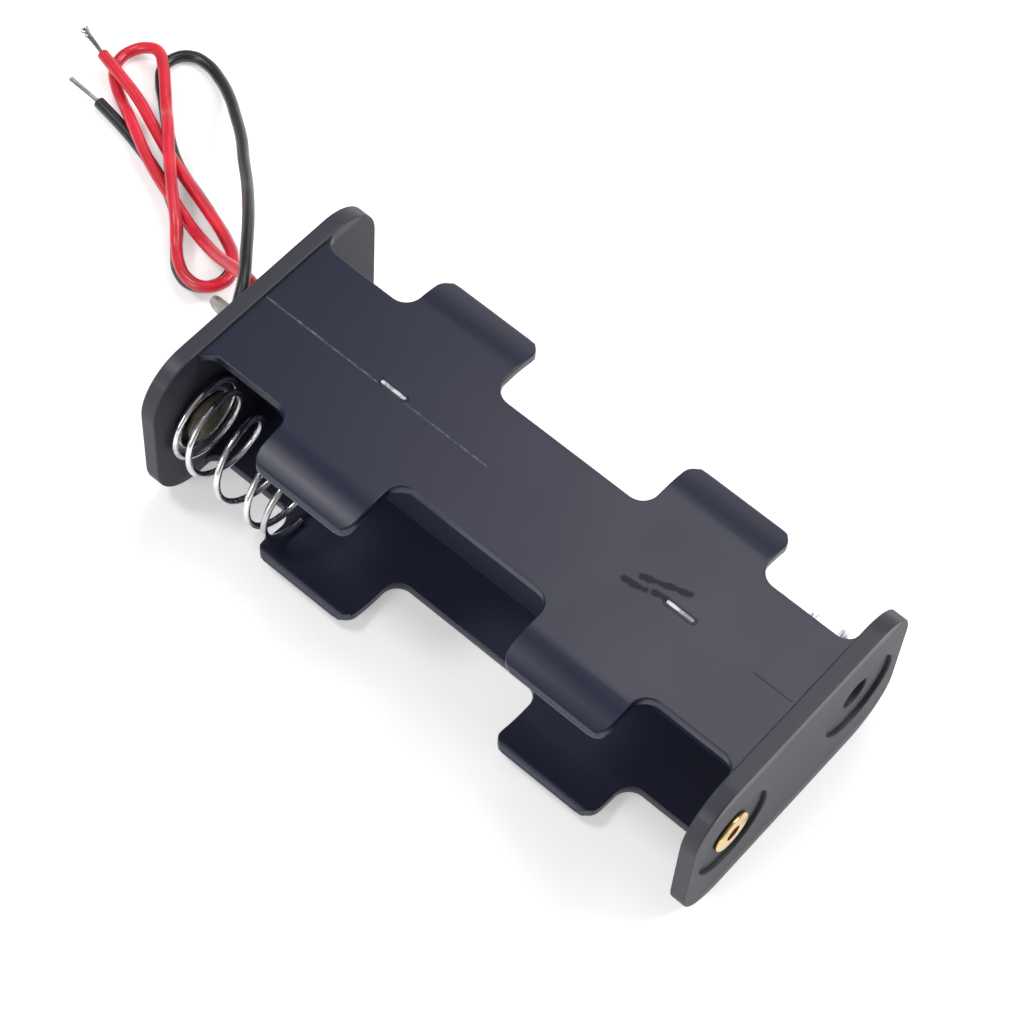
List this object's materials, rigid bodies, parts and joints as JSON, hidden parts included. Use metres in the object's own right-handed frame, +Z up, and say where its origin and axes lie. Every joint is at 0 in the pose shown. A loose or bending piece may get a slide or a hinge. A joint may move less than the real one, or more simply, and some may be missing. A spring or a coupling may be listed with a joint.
{
  "type": "cylindrical cell holder",
  "caption": "Open moulded holder that carries two cylindrical cells back to back, with coil spring and rivet contacts, a link strip and two wire leads",
  "frame": {"origin": "On the surface that the end plates stand on, below the middle of the holder's box without its free leads.", "axes": "+X along the cells, from the leads' end to the link's end; +Y across the cells, away from the near bay; +Z up."},
  "size_m": [0.0968, 0.0367, 0.0175],
  "materials": {
    "body": "satin, moulded",
    "spring_wire": "bright nickel plating",
    "rivet": "satin",
    "contact_sheet": "satin nickel plating",
    "solder": "satin",
    "black_insulation": "soft gloss",
    "red_insulation": "soft gloss",
    "tinned_strands": "twisted strands"
  },
  "bodies": {
    "root": {"holder_body": "body", "negative_spring": "spring_wire", "link_spring": "spring_wire", "negative_rivet": "rivet", "positive_rivet": "rivet", "link_rivet": "rivet", "negative_tag": "contact_sheet", "positive_tag": "contact_sheet", "link_strip": "contact_sheet", "black_solder": "solder", "red_solder": "solder", "black_lead": "black_insulation", "red_lead": "red_insulation", "black_lead_core": "tinned_strands", "red_lead_core": "tinned_strands"}
  },
  "joints": []
}
